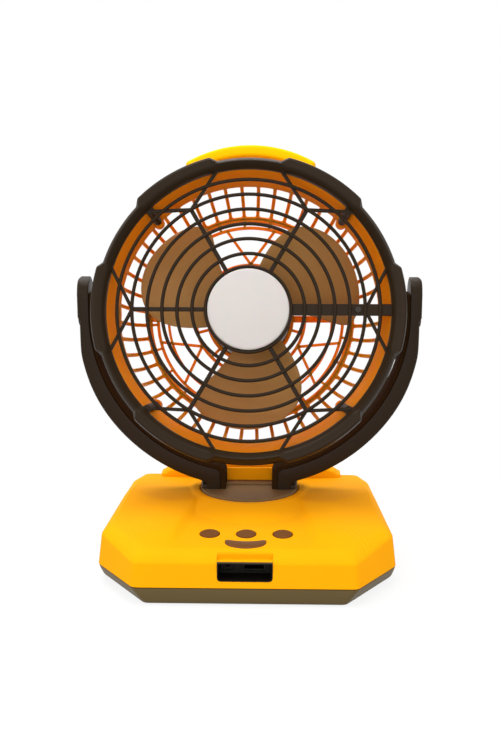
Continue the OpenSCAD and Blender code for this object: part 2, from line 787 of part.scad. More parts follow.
base_plate();
rubber_feet();
base_screws();
base_shell();
port_bay();
usb_socket();
dc_jack();
main_board();
control_board();
touch_switches();
status_lens();
battery_cells();
battery_holder();
slip_ring();
swing_motor();
swing_pinion();
button(-1);  // speed_button
button(0);  // lamp_button
button(1);  // swing_button
turntable();
swing_gear();
gear_screws();
yoke();
yoke_cover();
yoke_screws();
pivot_caps();
front_guard();
rear_shell();
guard_screws();
handle();
handle_screws();
pivot_bolts();
tilt_washers();
lamp_lens();
lamp_board();
lamp_housing();
lamp_arm();
arm_screw();
motor_can();
motor_end_plate();
motor_screws();
motor_stator();
motor_bearings();
propeller();
propeller_nut();
motor_shaft();
rotor_magnet();
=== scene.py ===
# %% [markdown]
# # A portable camping fan
# This lesson dresses a imported CAD model of a battery camping fan. The CAD frame brings sizes, bodies and
# joints, and Blender adds the forms and finishes that the eye reads: soft mouldings, round wires, twisted
# blades and satin plastics. The first cell loads the frame.

# %% Load the CAD frame
from math import acos, atan2, copysign, cos, degrees, dist, exp, hypot, pi, radians, sin, sqrt, tan
import bmesh
import bpy
from mathutils import Euler, Matrix, Vector


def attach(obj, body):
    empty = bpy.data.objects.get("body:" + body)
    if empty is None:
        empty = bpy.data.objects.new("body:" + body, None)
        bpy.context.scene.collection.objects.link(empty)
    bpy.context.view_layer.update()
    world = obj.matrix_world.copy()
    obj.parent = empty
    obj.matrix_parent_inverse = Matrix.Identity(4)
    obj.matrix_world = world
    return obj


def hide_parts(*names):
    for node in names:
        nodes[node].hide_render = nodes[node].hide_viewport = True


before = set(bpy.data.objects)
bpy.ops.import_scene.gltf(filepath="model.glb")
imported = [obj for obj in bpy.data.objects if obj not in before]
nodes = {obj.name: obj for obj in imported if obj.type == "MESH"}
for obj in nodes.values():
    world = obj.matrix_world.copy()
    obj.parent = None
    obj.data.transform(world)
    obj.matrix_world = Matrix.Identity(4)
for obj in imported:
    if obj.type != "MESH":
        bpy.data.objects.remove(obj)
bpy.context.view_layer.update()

# %% [markdown]
# ## The camera
# A product shot is taken from a little above with a longish lens, so that the round head stays round. Lengths
# are in millimetres here, and one factor turns them to Blender's metres.

# %% Camera
MM = 0.001


def new_object(name, data):
    """An object with its data, linked to the scene."""
    made = bpy.data.objects.new(name, data)
    bpy.context.scene.collection.objects.link(made)
    return made


def make_camera(place, down, turn, lens):
    """A camera at a place in millimetres, looking a number of degrees down and turned about the vertical."""
    data = bpy.data.cameras.new("product_camera")
    data.lens = lens
    data.sensor_width = 36
    data.clip_start = 0.01
    camera = new_object("product_camera", data)
    camera.location = Vector(place) * MM
    camera.rotation_euler = Euler((radians(90 - down), 0, radians(turn)))
    bpy.context.scene.camera = camera
    return camera


camera = make_camera(place=(21.2, -789.7, 294), down=11.15, turn=1.5, lens=50)
bpy.context.scene.view_settings.view_transform = "Standard"
print("camera at", tuple(round(v, 3) for v in camera.location))

# %% [markdown]
# ## Two tools for materials
# Colours are chosen on screens, so they are written as sRGB hex values, while Cycles counts in linear light.
# One function turns the first into the second, and another adds a shader node with its settings and links.

# %% Colour and node helpers
def linear(hex_colour):
    """Linear RGBA of an sRGB hex colour."""
    channels = [int(hex_colour[i:i + 2], 16) / 255 for i in (1, 3, 5)]
    return tuple(c / 12.92 if c <= 0.04045 else ((c + 0.055) / 1.055) ** 2.4 for c in channels) + (1.0,)


def add(tree, kind, inputs=None, **settings):
    """A node of a kind, with its settings, and its inputs set to values or linked from other nodes' outputs."""
    made = tree.nodes.new("ShaderNode" + kind)
    for key, value in settings.items():
        setattr(made, key, value)
    for key, value in (inputs or {}).items():
        if isinstance(value, bpy.types.NodeSocket):
            tree.links.new(value, made.inputs[key])
        else:
            made.inputs[key].default_value = value
    return made


def blank_material(name, colour):
    """A new material without nodes; its viewport colour helps while working in solid view."""
    material = bpy.data.materials.new(name)
    material.use_nodes = True
    material.node_tree.nodes.clear()
    material.diffuse_color = linear(colour)
    return material, material.node_tree


print("middle grey in linear light:", [round(c, 4) for c in linear("#808080")[:3]])

# %% [markdown]
# ## Studio
# The fan stands on a white sweep in soft light. The floor shows plain white to the camera and to reflections,
# mixed with a little real diffuse shading near the fan, so the shadow under the base stays. The world does the
# same: plain white where it is seen, a shade less where it lights.

# %% Floor and world
def seen_directly(tree):
    """1 where the camera, a reflection or a transmission looks, 0 for light that bounces."""
    path = add(tree, "LightPath")
    either = add(tree, "Math", {0: path.outputs["Is Camera Ray"], 1: path.outputs["Is Glossy Ray"]},
                 operation="MAXIMUM")
    return add(tree, "Math", {0: either.outputs[0], 1: path.outputs["Is Transmission Ray"]},
               operation="MAXIMUM").outputs[0]


def make_floor(size, depth):
    """A large round floor a hair under the base."""
    mesh = bpy.data.meshes.new("studio_floor")
    form = bmesh.new()
    bmesh.ops.create_circle(form, cap_ends=True, segments=64, radius=size)
    bmesh.ops.translate(form, verts=form.verts, vec=(0, 0, depth))
    form.to_mesh(mesh)
    form.free()
    floor = new_object("studio_floor", mesh)
    material, tree = blank_material("white_paper_sweep", "#FFFFFF")
    bounce = add(tree, "BsdfDiffuse", {"Color": linear("#B4B4B4")})
    paper = add(tree, "BsdfDiffuse", {"Color": linear("#F2F2F2")})
    plain = add(tree, "Emission", {"Color": linear("#FFFFFF"), "Strength": 1.0})
    away = add(tree, "VectorMath", {0: add(tree, "TexCoord").outputs["Object"]}, operation="LENGTH")
    share = add(tree, "MapRange", {"Value": away.outputs["Value"], "From Min": 0.12, "From Max": 0.4,
                                   "To Min": 0.84, "To Max": 1.0})
    shadowed = add(tree, "MixShader", {0: share.outputs[0], 1: paper.outputs[0], 2: plain.outputs[0]})
    by_ray = add(tree, "MixShader", {0: seen_directly(tree), 1: bounce.outputs[0], 2: shadowed.outputs[0]})
    add(tree, "OutputMaterial", {"Surface": by_ray.outputs[0]})
    mesh.materials.append(material)


def make_world(strength):
    """A world that is plain white to look at and lights the object with a strength of its own."""
    world = bpy.data.worlds.new("soft_room")
    world.use_nodes = True
    tree = world.node_tree
    tree.nodes.clear()
    brightness = add(tree, "MapRange", {"Value": seen_directly(tree), "To Min": strength, "To Max": 1.0})
    back = add(tree, "Background", {"Color": linear("#FFFFFF"), "Strength": brightness.outputs[0]})
    add(tree, "OutputWorld", {"Surface": back.outputs[0]})
    bpy.context.scene.world = world


make_floor(size=6, depth=-0.4 * MM)
make_world(strength=0.95)

# %% [markdown]
# Six soft boxes light the fan. One overhead and one behind brighten the tops and draw soft lines on rounded
# edges, a high and a low one behind the camera light the front, and a weak pair left and right lifts the
# sides. Area lamps are used, because their size sets how soft the shadows are.

# %% Lamps
def softbox(name, place, aim, width, height, power):
    """An area lamp at a place, facing a height over the origin; lengths in metres, power in watts."""
    data = bpy.data.lights.new(name, "AREA")
    data.shape = "RECTANGLE"
    data.size, data.size_y, data.energy = width, height, power
    lamp = new_object(name, data)
    lamp.location = place
    lamp.rotation_euler = (Vector((0, 0, aim)) - Vector(place)).to_track_quat("-Z", "Y").to_euler()


softbox("softbox_top", (-0.2, -0.1, 1.5), 0.1, 1.2, 0.8, 11)
softbox("softbox_back", (-0.2, 0.8, 1.3), 0.15, 1.2, 0.6, 8)
softbox("softbox_high", (-0.3, -1.9, 1.0), 0.15, 0.9, 0.5, 3)
softbox("softbox_low", (-0.1, -2.1, 0.16), 0.12, 1.2, 0.3, 5)
softbox("softbox_left", (-1.2, -0.8, 0.8), 0.15, 0.7, 0.8, 3)
softbox("softbox_right", (1.2, -0.8, 0.7), 0.15, 0.7, 0.8, 1.5)

# %% [markdown]
# ## Moulded plastic
# Nearly everything on a fan like this is injection moulded: ABS for housings, polypropylene for blades. The
# steel of the mould is spark eroded, which leaves a grain of about 0.1 mm. That is finer than a pixel here, so
# it is drawn at 0.6 mm, where it breaks up the highlights as the real grain does. Slow noise of a few
# centimetres shifts the colour by a few percent, as pigment does in thick and thin walls. The orange shell and
# the lamp's opal cover also let some light in, which scatters and comes out soft: subsurface scattering.

# %% Moulded plastic recipe
def noise(tree, size, **inputs):
    """Noise in object space whose features are some millimetres in size."""
    where = add(tree, "TexCoord").outputs["Object"]
    return add(tree, "TexNoise", {"Vector": where, "Scale": 1 / (size * MM), **inputs}).outputs["Fac"]


def moulded_plastic(name, colour, roughness=0.45, grain=0.6, bump=0.02, drift=0.04, ior=1.5, shine=0.2, **sockets):
    """A pigmented plastic: colour drift over centimetres, a fine grain in millimetres, and a satin skin."""
    material, tree = blank_material(name, colour)
    base = linear(colour)
    dark = tuple(c * (1 - drift) for c in base[:3]) + (1.0,)
    light = tuple(min(c * (1 + drift), 1.0) for c in base[:3]) + (1.0,)
    slow = noise(tree, 35, Detail=3.0, Roughness=0.5)
    tone = add(tree, "Mix", {0: slow, 6: dark, 7: light}, data_type="RGBA")
    grit = noise(tree, grain, Detail=2.0, Roughness=0.6)
    gloss = add(tree, "MapRange", {"Value": grit, "From Min": 0.3, "From Max": 0.7,
                                   "To Min": roughness - 0.05, "To Max": roughness + 0.05})
    relief = add(tree, "Bump", {"Height": grit, "Strength": 0.35, "Distance": bump * MM})
    skin = add(tree, "BsdfPrincipled", {
        "Base Color": tone.outputs[2], "Roughness": gloss.outputs[0], "Normal": relief.outputs[0],
        "IOR": ior, "Specular IOR Level": shine, **sockets})
    add(tree, "OutputMaterial", {"Surface": skin.outputs[0]})
    return material


yellow_abs = moulded_plastic("abs_yellow_satin", "#FFA906", roughness=0.6, shine=0.03)
# The handle is the base's yellow plastic; its lighter lemon colour is painted top light on its upper face.
handle_abs = moulded_plastic("abs_yellow_satin_painted_top_light", "#FFC400", roughness=0.55, shine=0.04)
glow = {"Subsurface Weight": 0.9, "Subsurface Scale": 6 * MM, "Subsurface Radius": (1.0, 0.6, 0.2)}
orange_pp = moulded_plastic("polypropylene_orange_satin", "#FF8412", roughness=0.42, shine=0.08, **glow)
charcoal_abs = moulded_plastic("abs_charcoal_spark_grain", "#281C0E", roughness=0.4, bump=0.03, shine=0.12)
liner_abs = moulded_plastic("abs_charcoal_coarse_grain", "#30200F", roughness=0.85, bump=0.05, shine=0.01)
olive_abs = moulded_plastic("abs_olive_spark_grain", "#5F4F2E", roughness=0.5, bump=0.03)
turntable_pom = moulded_plastic("acetal_brown_satin", "#775E3E", roughness=0.5, shine=0.06)
blade_pp = moulded_plastic("polypropylene_brown_satin", "#A3753E", roughness=0.4, shine=0.15)
button_abs = moulded_plastic("abs_brown_satin", "#6E431F", roughness=0.5, drift=0.25, shine=0.06)
black_abs = moulded_plastic("abs_black_matt", "#0E0905", roughness=0.55)
milk = {"Subsurface Weight": 0.35, "Subsurface Scale": 3 * MM}
opal_acrylic = moulded_plastic("acrylic_opal", "#C9C3BF", roughness=0.36, bump=0.005, drift=0.01, ior=1.49, **milk)
smoked_pc = moulded_plastic("polycarbonate_smoked", "#6E4520", roughness=0.3, bump=0.004, ior=1.58, shine=0.12)
print("materials so far:", len(bpy.data.materials))

# %% [markdown]
# ## Forms
# The mouldings follow rules, such as turned profiles, bars between two points and skins over a row of rings,
# so they are computed. A Form collects points in millimetres and faces. One function makes it a piece: it welds
# the mesh, turns the faces outwards, shades smooth but keeps corners, and gives it its plastic and CAD body.

# %% The Form class
def around(steps):
    """Angles at equal steps round a circle."""
    return [2 * pi * k / steps for k in range(steps)]


class Form:
    """Points in millimetres and faces between them, collected before they become a mesh."""

    def __init__(self):
        self.points, self.faces = [], []

    def add(self, points, faces):
        start = len(self.points)
        self.points += [tuple(p) for p in points]
        self.faces += [[start + i for i in face] for face in faces]

    def skin(self, rings, closed=False, caps=True):
        """A skin over rings of equally many points; closed joins the last ring to the first."""
        count, size = len(rings), len(rings[0])
        faces = [(i * size + j, i * size + (j + 1) % size,
                  (i + 1) % count * size + (j + 1) % size, (i + 1) % count * size + j)
                 for i in range(count if closed else count - 1) for j in range(size)]
        if caps and not closed:
            faces += [list(range(size))[::-1], list(range((count - 1) * size, count * size))]
        self.add([p for ring in rings for p in ring], faces)

    def turn(self, profile, steps=96):
        """A closed profile of (radius, height) turned about Z. Radii of 0 become one point when welded."""
        self.skin([[(r * cos(a), r * sin(a), z) for r, z in profile] for a in around(steps)], closed=True)


def circle(radius, steps, centre=(0, 0)):
    """Points of a circle in a plane."""
    return [(centre[0] + radius * cos(a), centre[1] + radius * sin(a)) for a in around(steps)]


def polar(r, angle):
    """The point of a plane at a radius and an angle."""
    return (r * cos(radians(angle)), r * sin(radians(angle)))


def softened(corners, radius, steps=4):
    """A closed outline with each corner replaced by a small curve; one radius, or one for each corner."""
    out = []
    for k, corner in enumerate(corners):
        corner = Vector(corner)
        size = radius[k] if isinstance(radius, list) else radius
        before, after = Vector(corners[k - 1]) - corner, Vector(corners[(k + 1) % len(corners)]) - corner
        a = corner + before * min(size / before.length, 0.48)
        b = corner + after * min(size / after.length, 0.48)
        for j in range(steps + 1):
            t = j / steps
            out.append(tuple((1 - t) ** 2 * a + 2 * t * (1 - t) * corner + t * t * b))
    return out


# %% Simple solids
def bar(form, start, end, width, low, high, soft=0.5):
    """A bar with softened edges between two points of a plane, from height low to high."""
    start, end = Vector(start), Vector(end)
    side = (end - start).normalized().orthogonal()
    section = softened([(-width / 2, low), (width / 2, low), (width / 2, high), (-width / 2, high)], soft, 3)
    form.skin([[(p.x + side.x * s, p.y + side.y * s, z) for s, z in section] for p in (start, end)])


def post(form, place, stations, steps):
    """An upright round post at a point of a plane, from its (radius, height) stations."""
    form.skin([[(x, y, z) for x, y in circle(r, steps, place)] for r, z in stations])


def pivot_bosses(form, profile, height=0, steps=48):
    """A profile of (radius, x) turned about the X axis at a height, on both sides of the fan."""
    for side in (-1, 1):
        form.skin([[(side * x, r * cos(a), height + r * sin(a)) for r, x in profile] for a in around(steps)],
                  closed=True)


def prism(outline, low, high):
    """A straight solid over an outline."""
    form = Form()
    form.skin([[(x, y, z) for x, y in outline] for z in (low, high)])
    return form


def rail(profile, half):
    """A straight solid along X with a profile in Y and Z."""
    form = Form()
    form.skin([[(x, y, z) for y, z in profile] for x in (-half, half)])
    return form


# %% Pieces
PIVOT = 185.5
TILT = 15
head_place = Matrix.Translation((0, 0, PIVOT)) @ Matrix.Rotation(radians(90 - TILT), 4, "X")


def to_mesh(name, form, place=None):
    """A closed, welded mesh from a form, in metres, its faces looking outwards."""
    mesh = bpy.data.meshes.new(name)
    mesh.from_pydata(form.points, [], form.faces)
    shape = bmesh.new()
    shape.from_mesh(mesh)
    bmesh.ops.remove_doubles(shape, verts=shape.verts, dist=0.002)
    bmesh.ops.dissolve_degenerate(shape, edges=shape.edges, dist=0.001)
    bmesh.ops.recalc_face_normals(shape, faces=shape.faces)
    if shape.calc_volume(signed=True) < 0:
        bmesh.ops.reverse_faces(shape, faces=shape.faces)
    bmesh.ops.transform(shape, matrix=Matrix.Scale(MM, 4) @ (place or Matrix()), verts=shape.verts)
    shape.to_mesh(mesh)
    shape.free()
    return mesh


def apply_modifiers(piece):
    """Keeps the result of a piece's modifiers as its mesh."""
    bpy.context.view_layer.update()
    shaped = bpy.data.meshes.new_from_object(piece.evaluated_get(bpy.context.evaluated_depsgraph_get()))
    piece.modifiers.clear()
    piece.data = shaped


def cut_away(piece, form, place=None):
    """Cuts a form out of a piece."""
    tool = new_object("tool", to_mesh("tool", form, place))
    change = piece.modifiers.new("cut", "BOOLEAN")
    change.operation, change.object, change.solver = "DIFFERENCE", tool, "EXACT"
    apply_modifiers(piece)
    bpy.data.objects.remove(tool)


def finish_piece(piece, body, material, stands_for=(), slot=None, sharp=32):
    """Shading, plastic and CAD body of a piece."""
    piece.data.materials.clear()
    piece.data.materials.append(material)
    piece.data.shade_smooth()
    piece.data.set_sharp_from_angle(angle=radians(sharp))
    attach(piece, body)
    if stands_for:
        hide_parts(*stands_for)
    print(piece.name, "faces:", len(piece.data.polygons), "on", body)


def make_piece(name, form, body, material, place=None, **rest):
    """An object from a form, finished and riding on its body."""
    finish_piece(new_object(name, to_mesh(name, form, place)), body, material, **rest)


print("head frame at", tuple(round(v, 1) for v in head_place.translation))

# %% [markdown]
# ## The base shell
# The base is one yellow ABS moulding: an octagon in plan, walls that lean in a little, a soft crest, a control
# panel that rises to the back, and a raised tongue that carries the turntable. Subdivision modelling would
# need many careful loops, so the top is written as a height over the plan instead. The heights blend with
# smooth maxima, as a mould maker blends faces with fillets.

# %% Plan of the base
def mirrored(corners):
    """Corners of the right half, then their mirror images in reverse, which closes the outline."""
    return corners + [(-x, y) for x, y in reversed(corners)]


SEAM_CORNERS = mirrored([(77.5, -119), (108, -75), (108, 34), (86, 62)])
FOOT_CORNERS = mirrored([(70.5, -118.2), (107, -65.5), (105.5, 33), (84, 59.5)])
RIM_CORNERS = mirrored([(76.4, -116.6), (105.6, -74.3), (96, 34), (88.5, 57)])
RIM_HEIGHTS = [29.2, 35, 41.8, 41.5]
CREST_CORNERS = mirrored([(71, -107), (97.5, -69.5), (89.2, 31), (83.6, 52)])
SEAM = 12.6
CREST = 37.5
PANEL_FRONT = -107
WELL = 38.6
GRID = 1.2
BEND_STEPS = 5


def octagon(corners, inset):
    """Eight corners, moved so that every side lies deeper by the inset."""
    out = []
    for k, corner in enumerate(corners):
        here = Vector(corner)
        sides = (here - Vector(corners[k - 1]), Vector(corners[(k + 1) % 8]) - here)
        (a, b), (c, d) = [Vector((-side.y, side.x)).normalized() for side in sides]
        scale = inset / (a * d - b * c)
        out.append((here.x + (d - b) * scale, here.y + (a - c) * scale))
    return out


def blended(first, second, share):
    """Corners between two outlines."""
    return [tuple(Vector(a).lerp(Vector(b), share)) for a, b in zip(first, second)]


def side_spaces(k):
    """How many grid steps one side of the base has."""
    return round(dist(SEAM_CORNERS[(k + 1) % 8], SEAM_CORNERS[k]) / GRID)


def base_ring(corners, soft=4.0):
    """Evenly spaced points round an octagon with softened corners; every ring has as many."""
    bends = softened(corners, soft, BEND_STEPS)
    size = BEND_STEPS + 1
    out = []
    for k in range(8):
        out += bends[k * size:(k + 1) * size]
        start, end = Vector(out[-1]), Vector(bends[(k + 1) * size % len(bends)])
        out += [tuple(start.lerp(end, j / side_spaces(k))) for j in range(1, side_spaces(k))]
    return out


def along_ring(values):
    """A value for each corner of the right half, spread evenly over the ring's points between the corners."""
    values = values + values[::-1]
    out = []
    for k in range(8):
        out += [values[k]] * (BEND_STEPS + 1)
        out += [values[k] + (values[(k + 1) % 8] - values[k]) * j / side_spaces(k) for j in range(1, side_spaces(k))]
    return out


# %% Heights of the top
def ease(low, high, value):
    """0 below low, 1 above high, smooth between."""
    t = min(max((value - low) / (high - low), 0), 1)
    return t * t * (3 - 2 * t)


def smooth_max(a, b, blend):
    """The larger of two heights, with a fillet where they meet."""
    near = max(blend - abs(a - b), 0) / blend
    return max(a, b) + near * near * blend / 4


def soft_positive(d, soft):
    """0 for negative d and d for positive d, rounded at 0."""
    return (d + sqrt(d * d + soft * soft)) / 2


PLATEAU_TOP, COLLAR_TOP, COLLAR_R, RIB_PITCH = 47.5, 48.6, 43.5, 3.75


def plateau(y):
    """The flat rear, which falls a little to the back."""
    return PLATEAU_TOP - 0.085 * soft_positive(y + 3, 3)


def collar(x, y):
    """The raised disc round the turntable and the cone that runs down from it to the control panel."""
    return COLLAR_TOP - 0.32 * soft_positive(hypot(x, y) - COLLAR_R, 0.15)


def front_faces(x, y):
    """The side planes and, lower between them, the control panel with its slanted flanks."""
    panel = CREST + 0.0875 * (y - PANEL_FRONT)
    side = CREST + 0.0962 * (y - PANEL_FRONT)
    edge = 41.6 - 0.195 * (y + 65)
    lip = 3.0 * ease(-109, -84, y) * (1 - 0.9 * ease(58, 98, abs(x)))
    return panel + (side - panel + lip) * ease(edge - 1, edge + 8, abs(x))


def rib_depth(x, y):
    """Depth of the soft ribs that run back from both front corners."""
    across = 0.9 * (abs(x) - 77.5) + 0.43 * (y + 119)
    back = 0.9 * (y + 119) - 0.43 * (abs(x) - 77.5)
    inward = 0.57 * (y + 119) - 0.822 * (abs(x) - 77.5)
    window = ease(9, 13, across) * (1 - ease(33, 38, across)) * ease(-1, 2, inward) * (1 - ease(36, 52, back))
    return 0.55 * window * (0.5 + 0.5 * sin(2 * pi * across / RIB_PITCH)) * (1 - 0.4 * ease(4, 14, inward))


def top_height(x, y):
    """Height of the shell's upper face above the table."""
    ahead = -15.7 + 0.37 * (abs(x) - 44) - y
    flat = plateau(y)
    ramp = flat - 0.29 * soft_positive(ahead, 0.15)
    return smooth_max(smooth_max(min(front_faces(x, y), flat), ramp, 0.2), collar(x, y), 0.2) - rib_depth(x, y)


print("height at the crest, the panel and the tongue:",
      [round(top_height(0, y), 1) for y in (-107, -84, -45)])


# %% Walls, crest and top
def base_shell_form():
    """Rings from the seam up the wall, over the crest, across the top and down into the turntable's well."""
    rings = [[(x, y, SEAM) for x, y in base_ring(octagon(SEAM_CORNERS, 0.3))]]
    rim = along_ring(RIM_HEIGHTS)
    drops = [top_height(x, y) - z for (x, y), z in zip(base_ring(RIM_CORNERS), rim)]
    for k in range(15):
        t = k / 14
        outer = base_ring(blended(SEAM_CORNERS, RIM_CORNERS, t), 2.5 + t)
        heights = [SEAM + 0.35 + (top - SEAM - 0.35) * t for top in rim]
        rings.append([(x, y, z) for (x, y), z in zip(outer, heights)])
    for k in range(1, 13):
        angle = pi / 2 * k / 12
        share = 0.5 * (1 - cos(angle)) + 0.5 * k / 12
        rest = 0.5 * (1 - sin(angle)) + 0.5 * (1 - k / 12)
        line = base_ring(blended(RIM_CORNERS, CREST_CORNERS, share), 3.5 + 2 * share)
        rings.append([(x, y, top_height(x, y) - drop * rest) for (x, y), drop in zip(line, drops)])
    edge = base_ring(CREST_CORNERS, 5.5)
    for k in range(1, 71):
        ring = []
        for x, y in edge:
            a, r = atan2(y, x), hypot(x, y)
            r = r + (WELL + 1.2 - r) * (k / 70) ** 1.15
            x, y = r * cos(a), r * sin(a)
            ring.append((x, y, top_height(x, y)))
        rings.append(ring)
    for r, z in ((WELL + 0.6, 48.35), (WELL + 0.15, 48.0), (WELL, 47.4), (WELL, 44.2), (WELL - 0.3, 44), (30, 44)):
        rings.append([(r * cos(a), r * sin(a), z) for a in (atan2(y, x) for x, y in edge)])
    form = Form()
    form.skin(rings, caps=False)
    return form


# %% [markdown]
# The shell gets its wall thickness from a Solidify modifier. Holes for the buttons, the lens and the port bay
# are cut with solids a little larger than the parts that fill them, as on the real moulding.

# %% Places on the control panel
BUTTON_Y, LENS_Y, BUTTON_STEP, BUTTON_R = -84, -99, 26, 7


def on_panel(x, y):
    """Matrix of a place on the control panel: X along it, Z out of it."""
    return (Matrix.Translation((0, PANEL_FRONT, CREST)) @ Matrix.Rotation(radians(5), 4, "X")
            @ Matrix.Translation((x, y - PANEL_FRONT, 0)))


def smile(grow):
    """The status lens's outline: a full curve below, a slightly hollow top edge and rounded ends."""
    half, depth, corner_y = 14.4 + grow, 11.0 + grow, 4.9 + grow
    under = []
    for k in range(33):
        a = -pi + pi * k / 32
        x, y = cos(a), sin(a)
        under.append((half * copysign(abs(x) ** 0.9, x), 2.6 - depth * abs(y) ** 0.8))
    across = [(half - 1.5) * (1 - k / 16) for k in range(33)]
    top = [(x, 2.2 + grow + 2.9 * (x / half) ** 2) for x in across]
    ends = []
    for start, corner, end in ((under[-1], (half, corner_y), top[0]), (top[-1], (-half, corner_y), under[0])):
        ends.append([tuple((1 - t) ** 2 * Vector(start) + 2 * t * (1 - t) * Vector(corner) + t * t * Vector(end))
                     for t in (0.2, 0.4, 0.6, 0.8)])
    return under + ends[0] + top + ends[1]


# %% Base shell
shell = new_object("base_shell_moulding", to_mesh("base_shell_moulding", base_shell_form()))
wall = shell.modifiers.new("wall", "SOLIDIFY")
wall.thickness = 2.2 * MM
wall.offset = -1
apply_modifiers(shell)
for k in (-1, 0, 1):
    cut_away(shell, prism(circle(BUTTON_R + 0.45, 48), -6, 6), on_panel(k * BUTTON_STEP, BUTTON_Y))
cut_away(shell, prism(smile(0.25), -4, 7), on_panel(0, LENS_Y))
MOUTH = softened([(-19.2, 17.0), (19.2, 17.0), (19.2, 35.6), (-19.2, 35.6)], [3.2, 3.2, 0.5, 0.5], 6)
upright = Matrix.Rotation(radians(90), 4, "X")
cut_away(shell, prism(MOUTH, 108.5, 125), upright)
finish_piece(shell, "base", yellow_abs, stands_for=["base_shell"], slot="yellow_shell", sharp=28)

# %% [markdown]
# The cut over the port bay goes through the crest, so that a finger can reach a plug. A hood of the same plastic
# closes it behind. Its face leans out as it rises, which keeps the notch in soft shade.

# %% Port hood
hood_side = softened([(-116, 30.65), (-116, 31), (-111.9, 31.4), (-112.9, 35.5), (-107.5, 35.5), (-107.5, 30.65)],
                     [0.1, 0.3, 0.8, 0.3, 0.3, 0.3], 3)
make_piece("port_hood", rail(hood_side, 19.1), "base", yellow_abs, slot="yellow_shell")

# %% [markdown]
# The hump behind the turntable is the battery's cover, a clip-on moulding of the same plastic with grip ridges
# at its ends. It is a skin over rounded rectangles whose ends lean in as they rise.

# %% Battery hump
HUMP_WIDTH, HUMP_BEND, HUMP_SLOPE = 149, 46, 59 / 15


def hump_ring(width, front, back, z, soft):
    """A rounded rectangle round the hump at one height."""
    corners = [(-width / 2, front), (width / 2, front), (width / 2, back), (-width / 2, back)]
    return [(x, y, z) for x, y in softened(corners, soft, 6)]


hump_rings = [hump_ring(HUMP_WIDTH, 42, 60.5, 33, 6)]
for k in range(45):
    z = 40 + k * 0.45
    along = (z - 43) / 18
    ridge = sin(2 * pi * (z - HUMP_BEND) / 3.0) * ease(46, 47, z) * (1 - ease(58, 59, z))
    width = HUMP_WIDTH - HUMP_SLOPE * max(z - HUMP_BEND, 0) - 1.17 * ridge
    hump_rings.append(hump_ring(width, 40.5 + 4.5 * along, 60.1 - 2.2 * along, z, 6))
for width, front, back, z, soft in ((91.5, 45.6, 57.4, 60.5, 5.5), (89, 46.9, 56.2, 60.9, 4.5), (84, 49, 54, 61, 2.4)):
    hump_rings.append(hump_ring(width, front, back, z, soft))
hump = Form()
hump.skin(hump_rings)
make_piece("battery_hump", hump, "base", yellow_abs, stands_for=["base_shell"], slot="yellow_shell", sharp=50)

# %% [markdown]
# ## Base plate
# The olive plate closes the shell from below. Its lower edge is rounded, so that it lifts off the table with a
# shadow, and its rim stops a hair short of the shell, which leaves the dark seam of a two-part housing.

# %% Base plate
PLATE_STATIONS = [
    (1, 6, 0), (1, 3.2, 0.03), (1, 1.9, 0.4), (1, 1.1, 1.1), (0.97, 0.5, 2.2), (0.9, 0.2, 3.4), (0.5, 0.1, 7.2),
    (0.1, 0.1, 11.3), (0.05, 0.2, 11.9), (0, 0.6, 12.15), (0, 2.7, 12.15), (0.5, 3.1, 5), (0.6, 4.5, 3.2), (0.6, 9, 3)]
plate = Form()
plate.skin([[(x, y, z) for x, y in base_ring(octagon(blended(SEAM_CORNERS, FOOT_CORNERS, down), inset), 3)]
            for down, inset, z in PLATE_STATIONS])
base_plate = new_object("base_plate_moulding", to_mesh("base_plate_moulding", plate))
for side in (-1, 1):
    for x, y, radius, steps, depth in ((70, -101, 8.1, 48, 1.6), (78, 47, 8.1, 48, 1.6),
                                       (84, -72, 3.6, 32, 2.6), (88, 24, 3.6, 32, 2.6)):
        cut_away(base_plate, prism(circle(radius, steps, (side * x, y)), -1, depth))
finish_piece(base_plate, "base", olive_abs, stands_for=["base_plate"], slot="base_plate")

# %% [markdown]
# ## Buttons and status lens
# The three buttons are brown caps with a shallow dome and two turned rings, which a fingertip can feel. Each
# rides on its own CAD body, so it can be pressed. The smoked lens below stands a little proud of the panel.

# %% Buttons
def dome(r):
    """Height of a cap at radius r: a shallow dome with two fine turned rings."""
    rings = sum(0.14 * exp(-((r - at) / 0.35) ** 2) for at in (2.3, 4.6))
    return 0.5 * (1 - (r / BUTTON_R) ** 2) + 0.55 - rings


cap = Form()
profile = [(r, dome(r)) for r in (BUTTON_R * k / 22 for k in range(21))]
profile += [(6.65, 0.45), (6.8, 0.25), (6.85, -0.1), (6.85, -3), (8, -3), (8, -4), (2.2, -4), (2.2, -4.6),
            (0, -4.6)]
cap.turn(profile, 64)
for k, node in zip((-1, 0, 1), ("speed_button", "lamp_button", "swing_button")):
    make_piece(node + "_cap", cap, node, button_abs, place=on_panel(k * BUTTON_STEP, BUTTON_Y),
               stands_for=[node], slot="brown_button")

# %% Status lens
lens = Form()
lens_middle = Vector((0, -2.2))
lens_rings = [[(x, y, -2.5) for x, y in smile(0)]]
for scale, z in ((1, 0.1), (0.985, 0.33), (0.95, 0.48), (0.85, 0.62), (0.6, 0.78), (0.3, 0.84)):
    lens_rings.append([(p.x, p.y, z) for p in (lens_middle + (Vector(q) - lens_middle) * scale for q in smile(0))])
lens.skin(lens_rings)
make_piece("status_lens_smoked", lens, "base", smoked_pc, place=on_panel(0, LENS_Y), stands_for=["status_lens"],
           slot="brown_lens", sharp=50)

# %% [markdown]
# ## Port bay
# The dark pocket at the front holds the charging sockets. It is a moulded tray with rounded lower corners and
# a thin lip over the opening. The sockets inside are CAD parts with finishes of their own. The tray is black
# plastic painted darker still, and the USB socket gets blackened steel in place of its bright plating: both
# paint the shade deep in the pocket.

# %% Port bay
def mouth(grow, soft):
    """The bay's outline grown by some millimetres: nearly square above, rounded below."""
    left, right, low, high = -18.4 - grow, 18.4 + grow, 17.8 - grow, 29.6 + grow
    return softened([(left, low), (right, low), (right, high), (left, high)], [soft, soft, 1, 1], 6)


